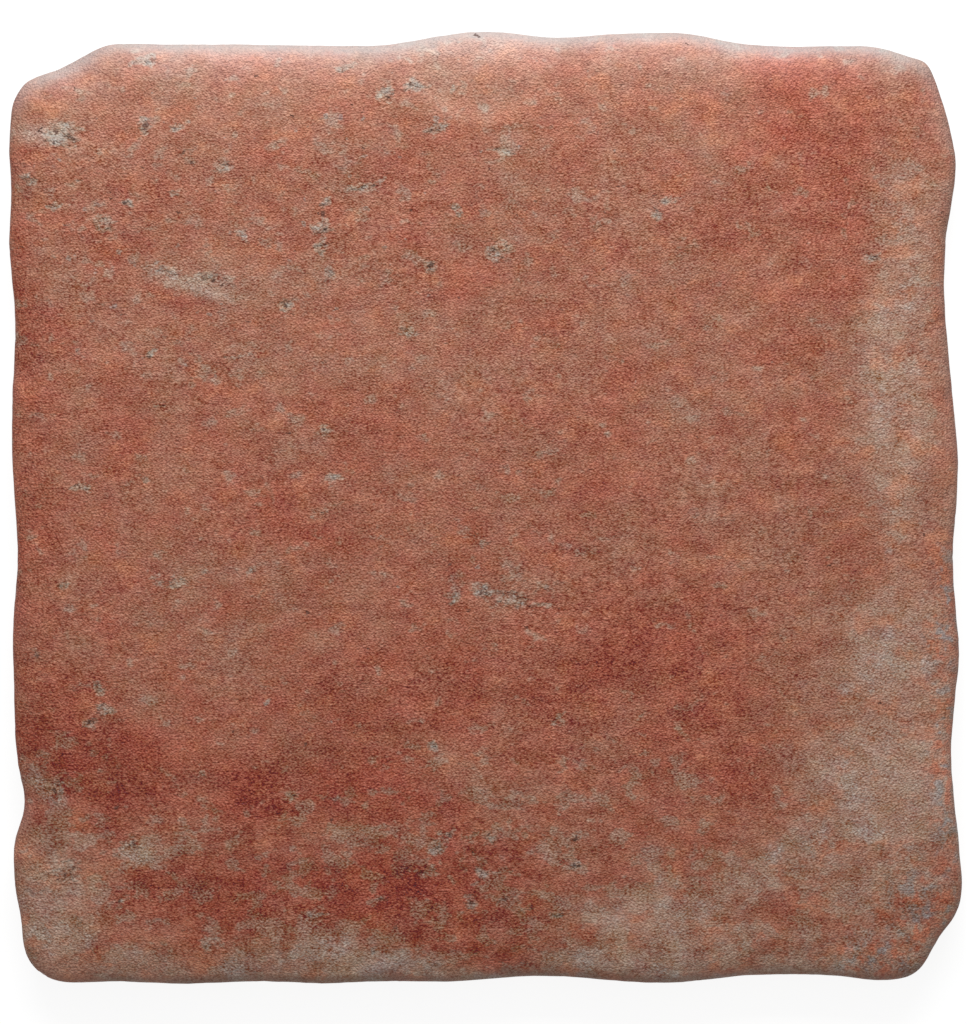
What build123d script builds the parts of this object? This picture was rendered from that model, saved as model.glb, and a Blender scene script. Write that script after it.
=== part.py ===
from build123d import *
import math
import os

# A square floor tile of terracotta-red porcelain stoneware, pressed and fired as one piece.
# It lies on its back. The origin is the centre of the back, +Z points out of the face,
# and +Y points to the edge that is at the top when the tile is seen from above.
# All lengths are in millimetres.

# Overall size, between the furthest points of opposite edges
side_length = 200.0
thickness = 10.0

# The face falls away to the edge in a soft quarter of an ellipse
cushion_width = 10.0
cushion_drop = 3.0
cushion_steps = 8

# The side leans in at its foot, where the pressed tile leaves the mould
foot_height = 1.4
foot_inset = 0.7

# Key pockets pressed into the back for the adhesive, between ribs that cross at the centre
pocket_pitch = 15.0
rib_width = 2.4
pocket_depth = 0.8
pocket_draft = 25.0
back_margin = 10.0

# Past this length from each corner the side's own waves begin
corner_reach = 24.0

# The smooth outline is cut into this many spans, so that its areas and the volume are measured closely
outline_spans = 8

# Waves of each side as (share of the way between the corners, depth of the dip).
# The top and bottom sides run from left to right, the left and right sides from top to bottom.
top_waves = [
    (0.01, 2.5),
    (0.17, 2.5),
    (0.30, 2.8),
    (0.38, 2.1),
    (0.45, 0.5),
    (0.54, 0.3),
    (0.60, 1.1),
    (0.66, 0.4),
    (0.72, 0.0),
    (0.78, 0.4),
    (0.85, 2.3),
    (0.91, 2.9),
    (1.00, 2.9),
]
right_waves = [
    (0.03, 1.1),
    (0.11, 2.9),
    (0.18, 3.6),
    (0.25, 3.0),
    (0.38, 1.2),
    (0.44, 0.7),
    (0.56, 1.6),
    (0.63, 1.3),
    (0.70, 0.5),
    (0.83, 2.2),
    (0.94, 0.8),
    (1.00, 0.1),
]
bottom_waves = [
    (0.01, 0.6),
    (0.08, 0.1),
    (0.20, 0.6),
    (0.27, 0.0),
    (0.34, 0.6),
    (0.46, 0.6),
    (0.57, 1.7),
    (0.64, 1.4),
    (0.70, 0.6),
    (0.78, 0.6),
    (0.84, 1.6),
    (0.93, 2.1),
    (1.00, 1.5),
]
left_waves = [
    (0.00, 0.0),
    (0.06, 0.4),
    (0.13, 0.0),
    (0.23, 0.9),
    (0.31, 0.9),
    (0.38, 0.4),
    (0.51, 1.3),
    (0.59, 1.7),
    (0.66, 0.9),
    (0.74, 0.9),
    (0.86, 1.9),
    (0.915, 3.0),
    (0.955, 1.3),
    (1.00, 0.9),
]

# Worn corners, clockwise, as (depth in from the nearer left or right side,
# depth in from the nearer top or bottom side)
top_left_wear = [(0.5, 16.4), (1.7, 12.8), (4.2, 10.0), (9.7, 8.0), (16.0, 4.8), (20.5, 2.8)]
top_right_wear = [(17.3, 3.3), (11.0, 5.0), (7.6, 6.3), (5.4, 10.1), (3.6, 15.5), (1.9, 22.0)]
bottom_right_wear = [(0.3, 17.5), (1.6, 14.2), (4.6, 10.1), (7.3, 5.2), (9.5, 2.7), (13.0, 1.2)]
bottom_left_wear = [(16.0, 0.5), (9.0, 1.0), (5.0, 3.8), (3.0, 8.5), (2.1, 15.0), (1.0, 21.0)]


def outline_points():
    """The worn outline's points, clockwise from the top left corner."""
    half = side_length / 2
    between_corners = side_length - 2 * corner_reach

    def along(share):
        return -half + corner_reach + share * between_corners

    def corner(wear, x_sign, y_sign):
        return [(x_sign * (half - in_x), y_sign * (half - in_y)) for in_x, in_y in wear]

    top = [(along(share), half - dip) for share, dip in top_waves]
    right = [(half - dip, -along(share)) for share, dip in right_waves]
    bottom = [(along(share), dip - half) for share, dip in reversed(bottom_waves)]
    left = [(dip - half, -along(share)) for share, dip in reversed(left_waves)]
    return (
        corner(top_left_wear, -1, 1)
        + top
        + corner(top_right_wear, 1, 1)
        + right
        + corner(bottom_right_wear, 1, -1)
        + bottom
        + corner(bottom_left_wear, -1, -1)
        + left
    )


def outline(inset, height):
    """The outline as one smooth closed wire, shrunk so that each side stands in by the inset."""
    shrink = 1 - 2 * inset / side_length
    points = [Vector(x * shrink, y * shrink, height) for x, y in outline_points()]
    loop = Edge.make_spline(points, periodic=True)
    cuts = [span / outline_spans for span in range(outline_spans + 1)]
    return Wire([loop.trim(start, end) for start, end in zip(cuts, cuts[1:])])


def skirt(band):
    """A band's outer surface, without its flat ends."""
    return band.faces().filter_by(GeomType.PLANE, reverse=True)


def foot():
    """The lowest band of the side, which leans in towards the back."""
    band = Solid.make_loft([outline(foot_inset, 0), outline(0, foot_height)], ruled=True)
    return skirt(band)


def wall():
    """The upright band of the side."""
    wall_height = thickness - cushion_drop - foot_height
    return skirt(Solid.extrude(Face(outline(0, foot_height)), Vector(0, 0, wall_height)))


def face_and_cushion():
    """The flat face, and the band that rounds off from it to the upright side."""
    sections = []
    for step in range(cushion_steps + 1):
        angle = math.radians(90 * step / cushion_steps)
        inset = cushion_width * (1 - math.cos(angle))
        height = thickness - cushion_drop * (1 - math.sin(angle))
        sections.append(outline(inset, height))
    cap = Solid.make_loft(sections)
    return skirt(cap) + [cap.faces().sort_by(Axis.Z)[-1]]


def back_with_pockets():
    """The back's ribs as one flat face, with the walls and floors of the square pockets."""
    across = side_length - 2 * back_margin + rib_width
    count = 2 * math.floor(across / pocket_pitch / 2)
    mouth = pocket_pitch - rib_width
    pocket = extrude(Rectangle(mouth, mouth), amount=pocket_depth, taper=pocket_draft)
    mouths = []
    walls_and_floors = []
    for place in GridLocations(pocket_pitch, pocket_pitch, count, count):
        opening, *inside = (place * pocket).faces().sort_by(Axis.Z)
        mouths.append(opening.outer_wire())
        walls_and_floors += inside
    return [Face(outline(foot_inset, 0), mouths)] + walls_and_floors


def build_tile():
    """One closed solid, sewn from its skin."""
    return Solid(Shell(back_with_pockets() + foot() + wall() + face_and_cushion()))


os.makedirs("parts", exist_ok=True)
tile = build_tile()
export_step(tile, "parts/tile.step")
print("tile volume", round(tile.volume), "mm3, box", tile.bounding_box().size)
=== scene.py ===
"""A square floor tile of terracotta-look porcelain stoneware, lying face up, seen from straight above."""

import math

import bmesh
import bpy
import numpy as np
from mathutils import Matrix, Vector, noise
from mathutils.bvhtree import BVHTree


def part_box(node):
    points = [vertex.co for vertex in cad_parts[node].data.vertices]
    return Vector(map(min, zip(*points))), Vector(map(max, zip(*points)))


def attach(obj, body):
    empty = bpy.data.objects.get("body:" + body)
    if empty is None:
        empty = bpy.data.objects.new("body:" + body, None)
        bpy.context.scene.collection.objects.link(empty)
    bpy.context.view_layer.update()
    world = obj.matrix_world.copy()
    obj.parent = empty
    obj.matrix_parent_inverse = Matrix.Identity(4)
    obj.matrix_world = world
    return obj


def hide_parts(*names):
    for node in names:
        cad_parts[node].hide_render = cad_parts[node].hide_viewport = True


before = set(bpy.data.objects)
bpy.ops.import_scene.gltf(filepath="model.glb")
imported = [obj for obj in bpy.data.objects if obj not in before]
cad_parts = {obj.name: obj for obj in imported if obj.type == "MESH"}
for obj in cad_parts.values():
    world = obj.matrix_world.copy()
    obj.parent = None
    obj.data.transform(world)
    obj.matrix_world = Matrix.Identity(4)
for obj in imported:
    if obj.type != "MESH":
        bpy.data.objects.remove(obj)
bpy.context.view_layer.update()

# The tile. One piece of porcelain stoneware, pressed from clay dust in a steel die, printed and glazed
# matt on its face, and fired whole. Its face rounds off to worn, wavy edges as old hand-made terracotta
# does, and its back has square key pockets for the adhesive.

MM = 0.001
tiny = 1e-9

cells_across = 264
crowding_to_rim = 0.15
shoulder_height = 8.6 * MM
side_heights = [h * MM for h in (0.0, 0.7, 1.4, 2.6, 3.8, 5.0, 6.1, 6.8, 7.3, 7.8, 8.2)]

# The foot's edge is read this far above the back, where a level ray still meets the side
lowest_reading = 0.01 * MM

pocket_pitch = 15.0 * MM
pocket_count = 12
rib_width = 2.4 * MM
pocket_depth = 0.8 * MM
pocket_draft = 25.0
pocket_softening = 0.15 * MM

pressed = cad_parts["tile"]
low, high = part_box("tile")
half_side = (high.x - low.x) / 2
skin = BVHTree.FromPolygons(
    [v.co for v in pressed.data.vertices],
    [p.vertices for p in pressed.data.polygons],
)


def reach(angle, height):
    """How far the side stands from the tile's middle axis, at an angle and a height."""
    outward = Vector((math.cos(angle), math.sin(angle), 0))
    start = outward * 2 * half_side + Vector((0, 0, height))
    return skin.ray_cast(start, -outward)[0].xy.length


def face_height(x, y):
    """The height of the face above a point of the floor."""
    return skin.ray_cast(Vector((x, y, 2 * high.z)), Vector((0, 0, -1)))[0].z


def put_in_scene(name, data):
    """A new object in the scene, with its name and its mesh, lamp or camera."""
    made = bpy.data.objects.new(name, data)
    bpy.context.scene.collection.objects.link(made)
    return made


def rim_places():
    """The grid's outermost places, once round, counterclockwise from its lower left corner."""
    last = cells_across
    side = range(last)
    return (
        [(i, 0) for i in side]
        + [(last, j) for j in side]
        + [(last - i, last) for i in side]
        + [(0, last - j) for j in side]
    )


def pressed_skin():
    """The face as a grid that ends on the worn outline, and the side as rings under its rim."""
    steps = np.linspace(-1, 1, cells_across + 1)
    lines = steps * (1 + crowding_to_rim * (1 - steps**2))
    rim = rim_places()
    rim_angles = np.array([math.atan2(lines[j], lines[i]) for i, j in rim])
    shoulder = np.array([reach(a, shoulder_height) for a in rim_angles])
    order = np.argsort(rim_angles)

    u, v = np.meshgrid(lines, lines, indexing="ij")
    ring = np.maximum(abs(u), abs(v))
    angle = np.arctan2(v, u)
    square = half_side * np.hypot(u, v) / np.maximum(ring, tiny)
    worn = np.interp(angle, rim_angles[order], shoulder[order], period=2 * math.pi)
    pull = np.where(ring > 0, 1 + ring**3 * (worn / np.maximum(square, tiny) - 1), 1)
    x, y = half_side * u * pull, half_side * v * pull

    points = []
    place = {}
    for i in range(cells_across + 1):
        for j in range(cells_across + 1):
            on_rim = ring[i, j] > 1 - tiny
            height = shoulder_height if on_rim else face_height(x[i, j], y[i, j])
            place[i, j] = len(points)
            points.append((x[i, j], y[i, j], height))
    faces = [
        (place[i, j], place[i + 1, j], place[i + 1, j + 1], place[i, j + 1])
        for i in range(cells_across)
        for j in range(cells_across)
    ]
    upper = [place[p] for p in rim]
    for height in reversed(side_heights):
        lower = []
        for a in rim_angles:
            out = reach(a, max(height, lowest_reading))
            lower.append(len(points))
            points.append((out * math.cos(a), out * math.sin(a), height))
        for k in range(len(rim)):
            n = (k + 1) % len(rim)
            faces.append((upper[k], lower[k], lower[n], upper[n]))
        upper = lower
    return points, faces, upper


def pocket_block_corners():
    """The places on the back where the ribs round the block of pockets meet its edge, once round."""
    half = pocket_count * pocket_pitch / 2
    along = [i * pocket_pitch - half for i in range(pocket_count)]
    return (
        [(a, -half, 0) for a in along]
        + [(half, a, 0) for a in along]
        + [(-a, half, 0) for a in along]
        + [(-half, -a, 0) for a in along]
    )


def tile_blank():
    """The tile's skin as one mesh, open only where the block of pockets goes."""
    points, faces, foot = pressed_skin()
    first = len(points)
    block = pocket_block_corners()
    mesh = bpy.data.meshes.new("tile_blank")
    mesh.from_pydata(points + block, [], faces)
    soft = bmesh.new()
    soft.from_mesh(mesh)
    soft.verts.ensure_lookup_table()
    loops = (foot, [first + k for k in range(len(block))])
    edges = []
    for loop in loops:
        for k, corner in enumerate(loop):
            pair = (soft.verts[corner], soft.verts[loop[(k + 1) % len(loop)]])
            edges.append(soft.edges.get(pair) or soft.edges.new(pair))
    bmesh.ops.triangle_fill(soft, edges=edges, use_beauty=True, normal=(0, 0, -1))
    soft.to_mesh(mesh)
    soft.free()
    return put_in_scene("tile_blank", mesh)


def pocket_cell():
    """One key pocket with its half of each rib around it, seen from below as rings of four corners."""
    mouth = (pocket_pitch - rib_width) / 2
    floor = mouth - pocket_depth * math.tan(math.radians(pocket_draft))
    soft = pocket_softening
    rings = [
        (pocket_pitch / 2, 0),
        (mouth + soft, 0),
        (mouth - soft / 2, soft),
        (floor + soft / 2, pocket_depth - soft),
        (floor - soft, pocket_depth),
    ]
    points = [
        (size * sx, size * sy, depth)
        for size, depth in rings
        for sx, sy in ((-1, -1), (1, -1), (1, 1), (-1, 1))
    ]
    faces = [
        (4 * r + k, 4 * r + 4 + k, 4 * r + 4 + (k + 1) % 4, 4 * r + (k + 1) % 4)
        for r in range(len(rings) - 1)
        for k in range(4)
    ]
    last = 4 * (len(rings) - 1)
    faces.append((last + 3, last + 2, last + 1, last))
    mesh = bpy.data.meshes.new("pocket_cell")
    mesh.from_pydata(points, [], faces)
    return put_in_scene("pocket_cell", mesh)


# The relief pressed into the face, and the heights between which it and the nicks come and go
swell_height = 1.0 * MM
swell_width = 20 * MM
ripple_height = 0.3 * MM
ripple_width = 6 * MM
nick_depth = 0.3 * MM
nick_width = 5 * MM
pit_depth = 0.2 * MM
hollow_depth = 0.4 * MM
relief_begins = (0.5 * MM, 2.0 * MM)
nicks_begin = (6.0 * MM, 7.5 * MM)
nicks_end = (9.3 * MM, 9.95 * MM)
weld_distance = 0.01 * MM
sharp_angle = 35.0

# The grain of the face, the bands of painted highlight and painted shade at its rim, and the heights
# where the print and they end
sand_size = 0.36 * MM
sand_height = 0.26 * MM
grit_size = 1.8 * MM
grit_height = 0.07 * MM
mark_height = 0.9 * MM
speckle_size = 0.4 * MM
print_begins = (5.0 * MM, 6.5 * MM)
print_raggedness = 6 * MM
top_edge_highlight_ends = (7.9 * MM, 9.5 * MM)
lower_edge_shade_ends = (7.7 * MM, 8.8 * MM)
lit_top_rim_width = 26 * MM
lower_right_rim_width = 5 * MM
rim_stations = 720
rim_blending = 3 * MM
sway_seed = 2

# Wide noise of the print and the body, stored on the mesh:
# (name, size, detail, roughness, how far it is drawn out along X, shift)
wide_waves = [
    ("broad", 40 * MM, 2, 0.7, 1.0, 8.7),
    ("clouds", 14 * MM, 1, 0.9, 1.5, 1.7),
    ("clay", 5 * MM, 2, 0.6, 1.0, 9.9),
]

# Where the print, the wear, the hollows and the painted highlights sit on the face, in millimetres from
# its middle:
# (x, y, half width, half height, turn in degrees)
grey_veil = [
    (87, 32, 7.5, 54, 0),
    (86, -30, 12, 14, 0),
    (84, -68, 20, 30, 0),
    (65, -74, 12, 12, 0),
    (38, -88, 17, 8, 0),
    (-92, -83, 8, 14, 0),
    (-76, -71, 5, 4, 0),
    (-50, -95, 34, 4, 0),
    (-93, -58, 4, 4, 0),
    (-91, 79, 5, 3, 0),
    (-62, 48, 9, 1.8, -6),
    (0, -98, 100, 4, 0),
]
deep_red = [
    (36, -40, 34, 20, 0),
    (-88, -41, 12, 12, 0),
    (-58, -56, 26, 13, 0),
    (-22, -58, 14, 12, 0),
    (-12, -42, 30, 12, 0),
    (-70, -81, 18, 8, 0),
    (-30, -82, 26, 10, 0),
    (68, 84, 20, 12, 0),
    (70, 60, 14, 20, 0),
    (-110, 15, 13, 85, 0),
]
brick = [
    (-68, 14, 36, 28, 0),
    (-10, 8, 46, 24, 0),
]
mosaic = [
    (0, -85, 100, 26, 0),
    (-86, -66, 18, 16, 0),
]
flecked = [
    (-55, 60, 45, 32, 0),
    (-10, 75, 40, 20, 0),
    (0, -15, 26, 12, 0),
]
# Painted highlights: three pale arcs that lighten the ridge below the hollow near the middle of the top
# edge
ridge_highlights = [
    (-8.5, 84.6, 4.5, 1.6, -30),
    (-1, 82.6, 5, 1.6, 0),
    (6.5, 84.4, 4.5, 1.6, 25),
]
hollows = [
    (-1, 90, 11, 7, 0),
    (-62, 84, 9, 5, 20),
    (62, 80, 12, 6, -10),
]
rim_stains = [
    (97, -22, 3.5, 14, 0),
    (97, -55, 4, 24, 0),
    (93, -86, 9, 12, 40),
    (84, -94, 10, 5, 0),
]
pale_marks = [
    (-71.5, 94, 3, 1.4, 10),
    (-89, 78, 5, 2.5, 15),
    (-96, 69, 2, 1.2, 0),
    (-80, 59.5, 2.4, 2.2, 0),
    (-75.5, 64, 1.4, 1.2, 0),
    (-71.5, 80.1, 1.8, 1.6, 0),
    (-65.2, 80.1, 1.5, 1.4, 0),
    (-62.7, 74.9, 2.4, 1, 15),
    (-54.7, 72.1, 2, 1.6, 30),
    (-43.2, 75.5, 1.1, 1, 0),
    (-90, 63.1, 3, 0.8, 0),
    (-65.2, 65.8, 1.5, 1.2, 0),
    (-50.5, 56.8, 1.3, 1.4, 0),
    (-33.7, 63.7, 1.6, 1, 0),
    (-34, 59, 2.2, 2, 0),
    (-34.3, 55.1, 1.8, 1.4, 0),
    (-32.7, 49, 1.6, 1.5, 0),
    (-25.3, 67.5, 6, 0.8, 8),
    (-11.7, 51.1, 2, 0.9, 10),
    (-6.4, 62.3, 2, 0.9, -35),
    (-10.6, 79.5, 2.5, 1.2, 15),
    (3, 74.9, 4.5, 0.8, 0),
    (-70.5, 32.2, 2.5, 0.8, 30),
    (-86.2, 32.7, 1.2, 0.8, 0),
    (-41.5, 42, 2, 1.8, 0),
    (-29.5, 92.5, 2.2, 1.4, 20),
    (-14.8, 88.5, 2.8, 1.8, -10),
    (-21, 86.8, 1.8, 1.6, 0),
    (-6.4, 88, 1.2, 0.9, 0),
    (-57, 48, 5, 1.6, -5),
    (-67, 49.7, 2.4, 1.2, 0),
    (-52.6, 31.8, 2.8, 0.9, 0),
    (-17, 36.4, 2.4, 1.6, 0),
    (3, 54, 2.8, 2, 20),
    (25, 59.5, 1.5, 0.8, 25),
    (38, 64.4, 1.9, 1.3, 10),
    (35.6, 61.6, 1.6, 1.3, 0),
    (80.7, 52.6, 1.4, 1.2, 0),
    (-85, 4.5, 1.8, 1, 0),
    (-33.7, 16.5, 1.6, 1, 0),
    (-1.2, -6.6, 3, 0.9, -15),
    (-72.1, 6.6, 1.8, 1, 0),
    (-67.7, 21.3, 1.5, 0.8, 0),
    (-31.6, 6, 1.4, 1.2, 0),
    (-34.8, -1, 2.6, 0.35, 25),
    (15.7, 27.6, 1.2, 1, 0),
    (-70, -13.5, 1.6, 0.9, 0),
    (-58.9, -12.5, 1.2, 0.9, 0),
    (-49, -12.9, 1.5, 0.8, 0),
    (-88.9, -16.1, 1, 1, 0),
    (-66, -16, 3.4, 1.4, 0),
    (-6.4, -19.2, 1.2, 1.4, 0),
    (5.6, -19.2, 5, 1.6, -5),
    (1, -17.5, 4.5, 1.3, -8),
    (11.4, -20.3, 3, 1, 0),
    (63, -13.5, 0.6, 0.6, 0),
    (-81, -37, 1.8, 1.6, 0),
    (-80, -42, 2.2, 1.8, 20),
    (-83, -45, 1.6, 1.2, 0),
    (-46, -41, 1.4, 1, 0),
    (15.2, -44, 1.8, 0.7, 35),
    (33, -43.4, 1.6, 0.7, 15),
    (-11, -50, 0.9, 0.8, 0),
    (-41.1, -60.6, 1.5, 1, 0),
    (-31, -60, 1.4, 1, 0),
    (-60.6, -56.4, 1, 0.8, 0),
    (-61.5, -80.5, 1.4, 1, 0),
    (-76.3, -82.2, 1.1, 1, 0),
    (-85.8, -86.4, 1.4, 1, 0),
    (-57.9, -91, 2, 1.2, 0),
    (-34.8, -85.4, 2.6, 1.2, 0),
    (-23.2, -92.7, 1.2, 1.6, 0),
    (-22.2, -81.2, 1.8, 1.2, -20),
    (-90, -59, 2, 2.4, 0),
    (-75, -71.3, 2.6, 1.3, 20),
    (-88, -76, 3.4, 2, 10),
    (-10.5, -71, 2.4, 1, 25),
    (-7.5, -67.6, 2.2, 1, 10),
    (-3, -68, 2.4, 0.9, 20),
    (1, -69.5, 1.6, 1, -30),
    (-2.6, -72.5, 1.1, 2.2, 30),
    (-1.4, -76.5, 1.2, 2, -20),
    (4, -76.3, 3, 1, 0),
    (-12.5, -76.5, 2.2, 1.5, 20),
    (18.5, -69.8, 2.2, 0.8, 30),
    (18, -74.5, 1.6, 1.4, 0),
    (-3, -82.7, 1.4, 1.3, 0),
    (4, -82, 1.3, 0.8, 30),
    (9, -83.6, 1.6, 1.2, 0),
    (15, -85, 2, 1.2, 20),
]
dark_pits = [
    (17.3, 82, 0.7, 0.6, 0),
    (18.8, 31.6, 1, 0.9, 0),
    (-5.8, -22.8, 0.6, 0.6, 0),
    (-31.6, -25.5, 1.4, 1, 0),
    (77.2, 38.1, 2.2, 1.6, 0),
    (47.1, 55.3, 1.3, 1, 0),
    (-33.7, 57.6, 1.3, 1.3, 0),
    (-34.5, 62, 0.9, 0.7, 0),
    (-62, 45.3, 0.9, 0.6, 0),
    (-41.5, 42, 1, 0.8, 0),
    (-1, -18.5, 0.8, 0.5, 0),
    (-25.3, -37.6, 1.6, 1, 0),
    (-62, -79, 0.9, 0.8, 0),
    (-79, -38.6, 0.6, 0.5, 0),
]


def closeness(places, marks, sway, sway_size):
    """For each place, 1 in the middle of a mark, one half on its uneven rim and 0 well outside."""
    field = np.zeros(len(places))
    moved = np.array([
        (p.x + sway * n.x, p.y + sway * n.y)
        for p in places
        for n in [noise.noise_vector(p / sway_size)]
    ])
    for x, y, half_width, half_height, turn in marks:
        c, s = math.cos(math.radians(turn)), math.sin(math.radians(turn))
        across, along = moved[:, 0] - x, moved[:, 1] - y
        u = (across * c + along * s) / half_width
        v = (along * c - across * s) / half_height
        field = np.maximum(field, np.clip(1.5 - np.hypot(u, v), 0, 1))
    return field


def rim_share(places, facing, width):
    """For each place, how near it lies to the stretch of the rim that faces a way, from 0 to 1."""
    turns = np.linspace(0, 2 * math.pi, rim_stations, endpoint=False)
    reaches = np.array([reach(a, shoulder_height) for a in turns])
    rim = np.column_stack([reaches * np.cos(turns), reaches * np.sin(turns)])
    along = np.roll(rim, -1, axis=0) - np.roll(rim, 1, axis=0)
    outward = np.column_stack([along[:, 1], -along[:, 0]]) / np.hypot(*along.T)[:, None]
    turned = np.clip(outward @ np.array(facing), 0, 1)
    nearest = np.full(len(places), np.inf)
    share = np.zeros(len(places))
    weights = np.zeros(len(places))
    for station, station_turned in zip(rim, turned):
        distance = np.hypot(*(places - station).T)
        weight = np.exp(-distance / rim_blending)
        nearest = np.minimum(nearest, distance)
        share += weight * station_turned
        weights += weight
    return share / np.maximum(weights, tiny) * np.clip(1 - nearest / width, 0, 1)


def paint_attributes(mesh):
    """Writes on the mesh how near each corner is to each kind of mark."""
    places = [v.co / MM for v in mesh.vertices]
    noise.seed_set(sway_seed)
    # Each name with its marks, how far their rims sway, and over what length, in millimetres
    for name, marks, sway, sway_size in (
        ("grey_veil", grey_veil, 7, 22),
        ("deep_red", deep_red, 12, 26),
        ("brick", brick, 12, 26),
        ("mosaic", mosaic, 10, 30),
        ("flecked", flecked, 12, 30),
        ("pale_marks", pale_marks, 1.6, 3),
        ("dark_pits", dark_pits, 0.5, 2),
        ("rim_stains", rim_stains, 2.5, 6),
        ("ridge_highlights", ridge_highlights, 1.5, 6),
        ("hollows", hollows, 3, 10),
    ):
        attribute = mesh.attributes.new(name, "FLOAT", "POINT")
        attribute.data.foreach_set("value", closeness(places, marks, sway, sway_size))
    flat_places = np.array([v.co.xy for v in mesh.vertices])
    # Each name with the way that the rim faces there, and the width of its band
    for name, facing, width in (
        # Masks of painted light: the top rim, which faces the lamp, and the lower right rim
        ("lit_top_rim", (0, 1), lit_top_rim_width),
        ("lower_right_rim", (0.6, -0.8), lower_right_rim_width),
    ):
        attribute = mesh.attributes.new(name, "FLOAT", "POINT")
        attribute.data.foreach_set("value", rim_share(flat_places, facing, width))


def paint(red, green, blue):
    """A colour as it is read on a screen, from 0 to 255, for a shader."""
    def linear(level):
        share = level / 255
        return share / 12.92 if share <= 0.04045 else ((share + 0.055) / 1.055) ** 2.4
    return (linear(red), linear(green), linear(blue), 1)


# The print's colours, those of its marks, those of the painted highlight and painted shade at the rim,
# and the bare body's two
iron_red = paint(160, 83, 62)
brick_red = paint(154, 90, 69)
red_brown = paint(151, 97, 76)
tan = paint(149, 107, 88)
beige = paint(157, 124, 107)
orange_blush = paint(174, 106, 75)
worn_ground = paint(150, 119, 101)
fleck_beige = paint(148, 120, 103)
grey_bloom = paint(152, 132, 121)
mark_beige = paint(150, 122, 105)
mark_grey = paint(134, 122, 112)
chip_grey = paint(136, 120, 110)
slate_grey = paint(128, 120, 115)
rust_orange = paint(170, 88, 58)
painted_sheen_white = paint(104, 105, 106)
painted_edge_white = paint(163, 166, 166)
lower_edge_shade_brown = paint(126, 110, 102)
iron_black = paint(66, 32, 20)
pale_clay = paint(186, 152, 132)
dark_clay = paint(170, 134, 114)


class Tree:
    """Short names for the nodes that the materials, the pressing and the sky are built from."""

    def __init__(self, nodes, links):
        self.nodes = nodes
        self.links = links

    def add(self, kind, inputs=(), **settings):
        node = self.nodes.new(kind)
        for name, value in settings.items():
            setattr(node, name, value)
        pairs = inputs.items() if isinstance(inputs, dict) else enumerate(inputs)
        for name, value in pairs:
            self.feed(node.inputs[name], value)
        return node

    def feed(self, socket, value):
        if isinstance(value, bpy.types.NodeSocket):
            self.links.new(value, socket)
        else:
            socket.default_value = value

    def maths(self, operation, *values, clamp=False):
        return self.add("ShaderNodeMath", values, operation=operation, use_clamp=clamp).outputs[0]

    def scaled(self, place, size, stretch=1.0, turn=0.0, shift=0.0):
        """The place in parts of a size, moved, turned and drawn out along X."""
        return self.add("ShaderNodeMapping", {
            "Vector": place,
            "Location": (shift, shift, shift),
            "Rotation": (0, 0, math.radians(turn)),
            "Scale": (1 / size / stretch, 1 / size, 1 / size),
        }, vector_type="POINT").outputs[0]

    def wave(self, place, size, detail=2, roughness=0.5, **layout):
        """Smooth noise about zero, with features of a size."""
        scaled = self.scaled(place, size, **layout)
        inputs = {"Vector": scaled, "Scale": 1.0, "Detail": detail, "Roughness": roughness}
        return self.maths("SUBTRACT", self.add("ShaderNodeTexNoise", inputs).outputs[0], 0.5)

    def dots(self, place, spacing, **layout):
        """The distance to the nearest of many strewn points, in parts of their spacing."""
        scaled = self.scaled(place, spacing, **layout)
        return self.add("ShaderNodeTexVoronoi", {"Vector": scaled, "Scale": 1.0}).outputs["Distance"]

    def total(self, *parts):
        """The sum of some values, each times its weight, which may itself be a value of the tree."""
        result = 0.0
        for value, weight in parts:
            result = self.maths("MULTIPLY_ADD", value, weight, result)
        return result

    def rise(self, value, start, end, low=0.0, high=1.0):
        """Rises smoothly from low to high while the value goes from start to end."""
        inputs = {"Value": value, "From Min": start, "From Max": end, "To Min": low, "To Max": high}
        kind = "ShaderNodeMapRange"
        return self.add(kind, inputs, interpolation_type="SMOOTHSTEP").outputs[0]

    def over(self, share, under, top, blend="MIX"):
        """One colour laid over another."""
        node = self.add("ShaderNodeMix", data_type="RGBA", blend_type=blend)
        self.feed(node.inputs[0], share)
        self.feed(node.inputs[6], under)
        self.feed(node.inputs[7], top)
        return node.outputs[2]

    def ramp(self, value, *stops):
        """A colour that goes through the stops, given as (value, colour)."""
        node = self.add("ShaderNodeValToRGB", [value])
        elements = node.color_ramp.elements
        while len(elements) < len(stops):
            elements.new(1.0)
        for element, (position, colour) in zip(elements, stops):
            element.position, element.color = position, colour
        return node.outputs[0]


def cleared_tree(owner):
    """The emptied node tree of a material or of the sky."""
    owner.use_nodes = True
    owner.node_tree.nodes.clear()
    return Tree(owner.node_tree.nodes, owner.node_tree.links)


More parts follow.
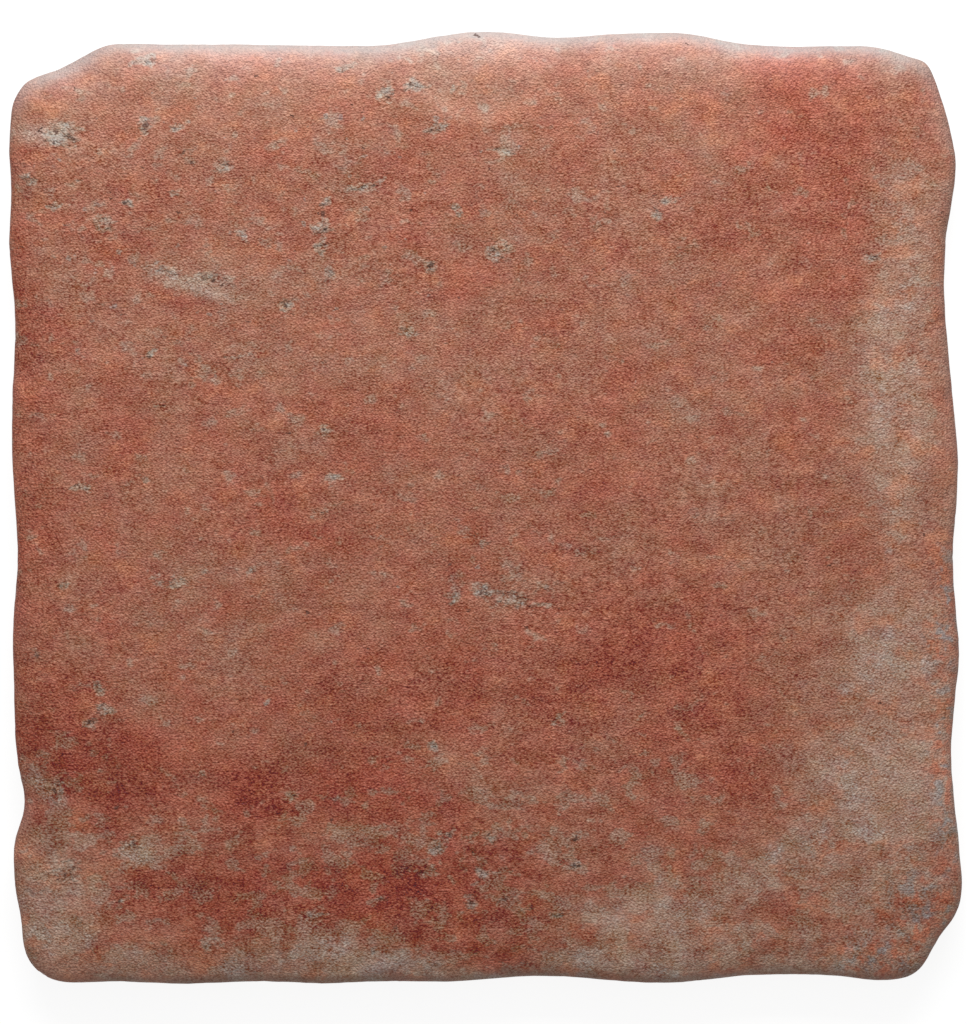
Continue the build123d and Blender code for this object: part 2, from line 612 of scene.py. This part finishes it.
def stoneware():
    """The printed, matt-glazed face, which gives way to the bare fired body down the side."""
    material = bpy.data.materials.new("fired_stoneware")
    t = cleared_tree(material)

    here = t.add("ShaderNodeTexCoord").outputs["Object"]
    height = t.add("ShaderNodeSeparateXYZ", [here]).outputs["Z"]

    def mark(name):
        return t.add("ShaderNodeAttribute", attribute_name=name).outputs["Fac"]

    # From iron red at 0 through brick and tan to beige at 1, in patches a few millimetres wide
    patches = t.wave(here, 9 * MM, 4, 0.68, stretch=1.3, shift=3.1)
    broad = mark("broad")
    hue = t.total(
        (patches, 1.25),
        (broad, 0.4),
        (mark("grey_veil"), 0.42),
        (mark("brick"), -0.10),
        (mark("deep_red"), -0.22),
        (mark("mosaic"), -0.08),
        (1.0, 0.42),
    )
    colour = t.ramp(
        hue,
        (0.0, iron_red),
        (0.25, brick_red),
        (0.45, red_brown),
        (0.7, tan),
        (1.0, beige),
    )
    warmth = t.wave(here, 6 * MM, 2, 0.7, stretch=1.3, shift=5.3)
    blush = t.total((warmth, 1.0), (mark("grey_veil"), 0.04))
    colour = t.over(t.rise(blush, 0.02, 0.22, 0, 0.5), colour, orange_blush)

    # The print worn through to its beige ground, in lace and in flecks
    lace = t.wave(here, 4 * MM, 2, 0.7, stretch=1.3, shift=7.7)
    worn = t.total(
        (lace, 1.0),
        (t.total((patches, 1.1), (lace, 0.8)), mark("mosaic")),
        (mark("mosaic"), 0.09),
        (mark("flecked"), 0.05),
        (mark("grey_veil"), 0.08),
        (1.0, -0.045),
    )
    colour = t.over(t.rise(worn, 0.05, 0.18, 0, 0.7), colour, worn_ground)
    flecks = t.total(
        (t.dots(here, 11 * MM, stretch=2.0, turn=-20), -1.0),
        (lace, 0.6),
        (mark("flecked"), 0.10),
        (mark("mosaic"), 0.09),
        (1.0, 0.03),
    )
    colour = t.over(t.rise(flecks, -0.03, 0.1, 0, 0.6), colour, fleck_beige)
    bloom = t.total(
        (t.wave(here, 8 * MM, 3, 0.7, shift=6.3), 1.0),
        (mark("grey_veil"), 0.2),
        (mark("mosaic"), 0.06),
        (1.0, -0.22),
    )
    colour = t.over(t.rise(bloom, 0, 0.15, 0, 0.6), colour, grey_bloom)

    # Marks of beige with slate grey in the middle
    crumbs = t.wave(here, 1.6 * MM, 2, 0.7, stretch=1.5, turn=-20, shift=3.3)
    marks = t.total((mark("pale_marks"), 1.0), (crumbs, 2.5))
    colour = t.over(t.rise(marks, 0.4, 0.9, 0, 0.8), colour, mark_beige)
    colour = t.over(t.rise(marks, 0.85, 1.25, 0, 0.6), colour, mark_grey)
    chips = t.total(
        (t.dots(here, 4 * MM, shift=6.7), -1.0),
        (crumbs, 0.8),
        (mark("flecked"), 0.2),
        (1.0, -0.06),
    )
    colour = t.over(t.rise(chips, 0, 0.08, 0, 0.6), colour, chip_grey)

    # Stains of slate grey and of orange along the rim
    stain = t.wave(here, 3.5 * MM, 2, 0.7, shift=9.1)
    slate = t.maths("MULTIPLY", t.rise(stain, 0.02, 0.12, 0, 0.7), mark("rim_stains"))
    colour = t.over(slate, colour, slate_grey)
    rust = t.maths("MULTIPLY", t.rise(stain, -0.12, -0.02, 0.6, 0), mark("rim_stains"))
    colour = t.over(rust, colour, rust_orange)

    # Light and dark, which take the colour's red less than its blue: tone that differs at random, with
    # painted light along the top rim, on the arcs near the top edge and along the lower right rim
    sand = t.wave(here, speckle_size, 1, 0.5, stretch=1.3, shift=4.1)
    mottle = t.wave(here, 3.4 * MM, 1, 0.8, stretch=1.3, shift=6.9)
    clouds = mark("clouds")
    shade = t.total(
        (broad, 0.45),
        (clouds, t.total((mark("deep_red"), 0.5), (mark("mosaic"), 0.3), (1.0, 0.4))),
        (mottle, t.total((mark("mosaic"), 0.4), (1.0, 1.05))),
        (t.maths("MULTIPLY", crumbs, mark("pale_marks")), 1.4),
        (t.wave(here, 1.3 * MM, 0, stretch=20, shift=2.3), 0.2),
        (sand, t.total((mark("mosaic"), -0.3), (mark("deep_red"), 0.3), (1.0, 3.0))),
        (mark("brick"), -0.03),
        (mark("deep_red"), -0.15),
        (mark("mosaic"), -0.21),
        (mark("grey_veil"), 0.19),
        # Painted light: lighter along the lower right rim, where it lifts the rim's shade, along the top
        # rim, which faces the lamp, and on the arcs near the top edge
        (mark("lower_right_rim"), 0.28),
        (mark("lit_top_rim"), 0.45),
        (mark("ridge_highlights"), 0.3),
        (1.0, 0.93),
    )
    tint = t.add("ShaderNodeCombineColor", [
        t.total((shade, 0.6), (1.0, 0.4)),
        shade,
        t.total((shade, 1.2), (t.wave(here, 5 * MM, 3, 0.7, shift=5.9), 0.5), (1.0, -0.2)),
    ]).outputs[0]
    colour = t.over(1.0, colour, tint, "MULTIPLY")

    # Painted highlight along the top rim, which faces the lamp: milky white added over a wide band, and
    # whiter still at the very edge
    uneven = t.total((broad, 0.6), (lace, 0.3), (1.0, 1.0))
    top_rim_sheen = t.maths("POWER", t.maths("MULTIPLY", mark("lit_top_rim"), uneven), 6.0)
    colour = t.over(top_rim_sheen, colour, painted_sheen_white, "ADD")
    top_edge_highlight = t.maths("MULTIPLY", t.rise(height, *top_edge_highlight_ends, 0.62, 0), mark("lit_top_rim"))
    colour = t.over(t.maths("MULTIPLY", top_edge_highlight, uneven, clamp=True), colour, painted_edge_white)
    # Painted shade: greyer and darker along the very edge of the lower right rim
    lower_edge_shade = t.maths("MULTIPLY", t.rise(height, *lower_edge_shade_ends, 0.6, 0), mark("lower_right_rim"))
    colour = t.over(lower_edge_shade, colour, lower_edge_shade_brown)

    # Dark iron specks, and scars where one has broken out
    ragged = t.wave(here, 1.4 * MM, 2, 0.8, stretch=1.3, shift=2.9)
    specks = t.total(
        (t.dots(here, 6 * MM, shift=2.9), -1.0),
        (ragged, 1.2),
        (mark("dark_pits"), 0.38),
        (mark("flecked"), 0.04),
        (1.0, -0.05),
    )
    specks = t.maths("MAXIMUM", specks, t.total((ragged, 1.2), (mark("pale_marks"), 0.3), (1.0, -0.38)))
    colour = t.over(t.rise(specks, -0.02, 0.06, 0, 0.8), colour, iron_black)

    # The body shows where the print ends, low on the side, and on the back
    clay = mark("clay")
    body = t.over(t.rise(clay, -0.15, 0.15), pale_clay, dark_clay)
    print_share = t.rise(t.total((height, 1.0), (clay, print_raggedness)), *print_begins)
    colour = t.over(print_share, body, colour)

    # The sandy grain, stronger inside the marks and weaker where the body is bare
    grit = t.wave(here, grit_size, 1, 0.7, shift=3.7)
    grain = t.total(
        (t.wave(here, sand_size, 0), sand_height),
        (grit, t.total((mark("pale_marks"), mark_height), (1.0, grit_height))),
    )
    grain = t.maths("MULTIPLY", grain, t.rise(height, *print_begins, 0.3, 1.0))
    bump = t.add("ShaderNodeBump", {"Strength": 1.0, "Distance": 1.0, "Height": grain})

    shader = t.add("ShaderNodeBsdfPrincipled", {"Base Color": colour, "Normal": bump.outputs[0]})
    t.feed(shader.inputs["Roughness"], t.rise(patches, -0.2, 0.2, 0.5, 0.6))
    shader.inputs["Specular IOR Level"].default_value = 0.3
    t.add("ShaderNodeOutputMaterial", [shader.outputs[0]])
    return material


def pressing_tree():
    """Geometry Nodes that press the face, set the key pockets into the back and store the wide noise."""
    group = bpy.data.node_groups.new("tile_pressing", "GeometryNodeTree")
    face = group.interface
    face.new_socket("Geometry", in_out="OUTPUT", socket_type="NodeSocketGeometry")
    for name, kind in (
        ("Geometry", "NodeSocketGeometry"),
        ("Pocket", "NodeSocketObject"),
        ("Pocket Pitch", "NodeSocketFloat"),
        ("Pocket Count", "NodeSocketInt"),
        ("Swell Height", "NodeSocketFloat"),
        ("Swell Width", "NodeSocketFloat"),
        ("Ripple Height", "NodeSocketFloat"),
        ("Ripple Width", "NodeSocketFloat"),
        ("Nick Depth", "NodeSocketFloat"),
        ("Nick Width", "NodeSocketFloat"),
        ("Pit Depth", "NodeSocketFloat"),
        ("Hollow Depth", "NodeSocketFloat"),
        ("Material", "NodeSocketMaterial"),
    ):
        face.new_socket(name, in_out="INPUT", socket_type=kind)
    t = Tree(group.nodes, group.links)
    given = t.add("NodeGroupInput").outputs

    here = t.add("GeometryNodeInputPosition").outputs[0]
    height = t.add("ShaderNodeSeparateXYZ", [here]).outputs["Z"]

    def bumps(width):
        """Noise about zero whose features are as wide as the input says."""
        node = t.add("ShaderNodeTexNoise", {"Vector": here, "Detail": 2.0, "Roughness": 0.5})
        t.feed(node.inputs["Scale"], t.maths("DIVIDE", 1.0, width))
        return t.maths("SUBTRACT", node.outputs[0], 0.5)

    off_back = t.rise(height, *relief_begins)
    on_arris = t.maths("MULTIPLY", t.rise(height, *nicks_begin), t.rise(height, *nicks_end, 1.0, 0.0))
    swell = t.maths("MULTIPLY", bumps(given["Swell Width"]), given["Swell Height"])
    ripple = t.maths("MULTIPLY", bumps(given["Ripple Width"]), given["Ripple Height"])
    nick = t.rise(bumps(given["Nick Width"]), 0.08, 0.22)
    nick = t.maths("MULTIPLY", t.maths("MULTIPLY", nick, on_arris), given["Nick Depth"])

    def dent(name, start, end, depth):
        """A dent as deep as the input says where the mesh has the marks of a name."""
        share = t.add("GeometryNodeInputNamedAttribute", {"Name": name}, data_type="FLOAT").outputs[0]
        return t.maths("MULTIPLY", t.rise(share, start, end), depth)

    pits = dent("dark_pits", 0.3, 0.8, given["Pit Depth"])
    dents = t.maths("ADD", pits, dent("hollows", 0, 1, given["Hollow Depth"]))
    rise = t.maths("SUBTRACT", t.maths("ADD", swell, ripple), t.maths("ADD", nick, dents))
    rise = t.maths("MULTIPLY", rise, off_back)
    normal = t.add("GeometryNodeInputNormal").outputs[0]
    offset = t.add("ShaderNodeVectorMath", {0: normal, "Scale": rise}, operation="SCALE")
    moved = {"Geometry": given["Geometry"], "Offset": offset.outputs[0]}
    skin_out = t.add("GeometryNodeSetPosition", moved).outputs[0]

    count = given["Pocket Count"]
    span = t.maths("MULTIPLY", t.maths("SUBTRACT", count, 1.0), given["Pocket Pitch"])
    layout = {"Size X": span, "Size Y": span, "Vertices X": count, "Vertices Y": count}
    grid = t.add("GeometryNodeMeshGrid", layout).outputs[0]
    cell = t.add("GeometryNodeObjectInfo", {"Object": given["Pocket"]}).outputs["Geometry"]
    pockets = t.add("GeometryNodeInstanceOnPoints", {"Points": grid, "Instance": cell}).outputs[0]

    both = t.add("GeometryNodeJoinGeometry")
    group.links.new(skin_out, both.inputs[0])
    group.links.new(pockets, both.inputs[0])
    real = t.add("GeometryNodeRealizeInstances", [both.outputs[0]]).outputs[0]

    # The wide noise is worked out once a corner, so that the material only has to read it
    for name, size, detail, roughness, stretch, shift in wide_waves:
        layout = [here, (1 / size / stretch, 1 / size, 1 / size), (shift, shift, shift)]
        scaled = t.add("ShaderNodeVectorMath", layout, operation="MULTIPLY_ADD")
        noisy = {"Vector": scaled.outputs[0], "Scale": 1.0, "Detail": detail, "Roughness": roughness}
        value = t.maths("SUBTRACT", t.add("ShaderNodeTexNoise", noisy).outputs[0], 0.5)
        kept = {"Geometry": real, "Name": name, "Value": value}
        store = t.add("GeometryNodeStoreNamedAttribute", kept, data_type="FLOAT", domain="POINT")
        real = store.outputs[0]
    done = t.add("GeometryNodeSetMaterial", {"Geometry": real, "Material": given["Material"]}).outputs[0]
    t.add("NodeGroupOutput", [done])
    return group


def press(blank, inputs):
    """Runs the pressing on the blank and returns the finished tile as a plain mesh object."""
    modifier = blank.modifiers.new("pressing", "NODES")
    modifier.node_group = pressing_tree()
    for item in modifier.node_group.interface.items_tree:
        if item.in_out == "INPUT" and item.name in inputs:
            modifier[item.identifier] = inputs[item.name]
    bpy.context.view_layer.update()
    evaluated = blank.evaluated_get(bpy.context.evaluated_depsgraph_get())
    mesh = bpy.data.meshes.new_from_object(evaluated)
    blank.modifiers.remove(modifier)
    bpy.data.objects.remove(blank)
    weld = bmesh.new()
    weld.from_mesh(mesh)
    bmesh.ops.remove_doubles(weld, verts=weld.verts, dist=weld_distance)
    bmesh.ops.recalc_face_normals(weld, faces=weld.faces)
    weld.to_mesh(mesh)
    weld.free()
    mesh.name = "porcelain_tile"
    mesh.shade_smooth()
    mesh.set_sharp_from_angle(angle=math.radians(sharp_angle))
    return put_in_scene("porcelain_tile", mesh)


glazed_clay = stoneware()
blank = tile_blank()
blank.data.materials.append(glazed_clay)
paint_attributes(blank.data)
cell = pocket_cell()
cell.data.materials.append(glazed_clay)
tile = press(
    blank,
    {
        "Pocket": cell,
        "Pocket Pitch": pocket_pitch,
        "Pocket Count": pocket_count,
        "Swell Height": swell_height,
        "Swell Width": swell_width,
        "Ripple Height": ripple_height,
        "Ripple Width": ripple_width,
        "Nick Depth": nick_depth,
        "Nick Width": nick_width,
        "Pit Depth": pit_depth,
        "Hollow Depth": hollow_depth,
        "Material": glazed_clay,
    },
)
bpy.data.objects.remove(cell)
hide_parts("tile")
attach(tile, "root")

# The floor. A plain white sheet that the tile lies on, wide enough to fill every view.

half_floor = 4.0
paper_grey = (0.2, 0.2, 0.2, 1)
pure_white = (1, 1, 1, 1)
paper_glow = 0.87


def seen_directly(t):
    """1 for what the camera sees, also in something shiny or through something clear, else 0."""
    path = t.add("ShaderNodeLightPath").outputs
    seen = t.maths("MAXIMUM", path["Is Camera Ray"], path["Is Glossy Ray"])
    return t.maths("MAXIMUM", seen, path["Is Transmission Ray"])


def white_floor():
    """Plain white to the eye, and darkened only by the tile's own shadow."""
    material = bpy.data.materials.new("white_floor")
    t = cleared_tree(material)
    paper = t.add("ShaderNodeBsdfDiffuse", {"Color": paper_grey}).outputs[0]
    glow = t.add("ShaderNodeEmission", {"Color": pure_white})
    t.feed(glow.inputs["Strength"], t.maths("MULTIPLY", seen_directly(t), paper_glow))
    both = t.add("ShaderNodeAddShader", [paper, glow.outputs[0]]).outputs[0]
    t.add("ShaderNodeOutputMaterial", [both])
    # The glow lights nothing, so no light ray is aimed at it
    material.cycles.emission_sampling = "NONE"
    return material


floor_mesh = bpy.data.meshes.new("floor")
floor_mesh.from_pydata(
    [(x * half_floor, y * half_floor, 0) for x, y in ((-1, -1), (1, -1), (1, 1), (-1, 1))],
    [],
    [(0, 1, 2, 3)],
)
floor_mesh.materials.append(white_floor())
floor = put_in_scene("floor", floor_mesh)

# The light. An even white sky, and one wide lamp low beyond the tile's top edge, which brightens the
# upper cushion and leaves the lower one in its own shade.

sky_level = 0.45
lamp_place = Vector((0.0, 0.48, 0.33))
lamp_size = (0.6, 0.25)
lamp_watts = 4.2

world = bpy.data.worlds.new("white_sky")
t = cleared_tree(world)
sky = t.add("ShaderNodeBackground", {"Color": pure_white})
t.feed(sky.inputs["Strength"], t.maths("MULTIPLY_ADD", seen_directly(t), 1 - sky_level, sky_level))
t.add("ShaderNodeOutputWorld", [sky.outputs[0]])
bpy.context.scene.world = world

lamp = bpy.data.lights.new("window", "AREA")
lamp.shape = "RECTANGLE"
lamp.size, lamp.size_y = lamp_size
lamp.energy = lamp_watts
window = put_in_scene("window", lamp)
window.location = lamp_place
window.rotation_euler = (-lamp_place).to_track_quat("-Z", "Y").to_euler()

# The camera. Straight above the tile with a long lens, as the photograph was taken.

lens = 200.0
sensor = 36.0
picture_height = 1024
pixel_size = 0.21 * MM
view_height = picture_height * pixel_size
view_middle = (-0.42 * MM, -0.735 * MM)
widest_height = 7.6 * MM

camera = bpy.data.cameras.new("camera")
camera.lens = lens
camera.sensor_width = sensor
eye = put_in_scene("camera", camera)
eye.location = (*view_middle, widest_height + view_height * lens / sensor)
bpy.context.scene.camera = eye
bpy.context.scene.view_settings.view_transform = "Standard"
